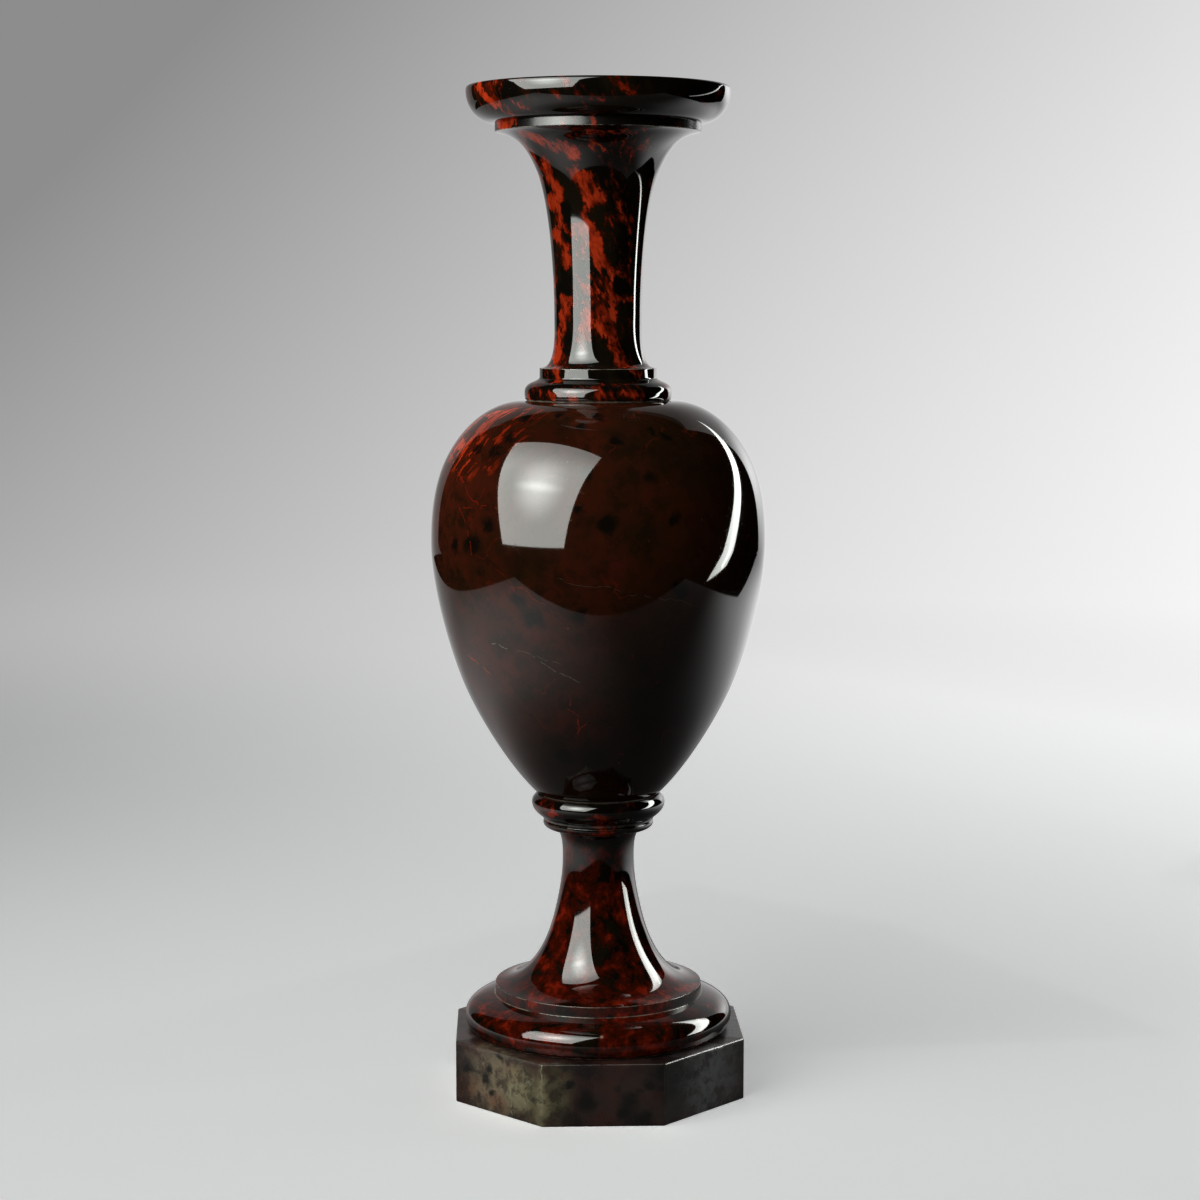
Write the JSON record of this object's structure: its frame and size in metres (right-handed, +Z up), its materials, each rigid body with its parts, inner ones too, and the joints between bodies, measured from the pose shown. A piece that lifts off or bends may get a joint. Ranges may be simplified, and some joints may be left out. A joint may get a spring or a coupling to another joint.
{
  "type": "stone vase",
  "caption": "Turned polished stone vase: octagonal plinth, torus foot, waisted stem, knop, egg-shaped hollow body, stepped collar, slender neck and dished round lip",
  "frame": {"origin": "on the turning axis, at the flat face under the plinth", "axes": "+Z up along the turning axis, -Y square to the plinth's front flat"},
  "size_m": [0.1198, 0.1198, 0.36],
  "materials": {
    "plinth_stone": "satin",
    "red_stone": "polished",
    "body_stone": "polished",
    "mastic": "matte",
    "lead": "matte",
    "brass": "satin"
  },
  "bodies": {
    "root": {"plinth": "plinth_stone", "plinth_mastic": "mastic", "foot": "red_stone", "foot_mastic": "mastic", "knop": "red_stone", "knop_mastic": "mastic", "body": "body_stone", "shoulder_mastic": "mastic", "neck": "red_stone", "plinth_lead": "lead", "plinth_washer": "brass", "plinth_nut": "brass", "body_lead": "lead", "body_washer": "brass", "body_nut": "brass", "tie_rod": "brass"}
  },
  "joints": []
}
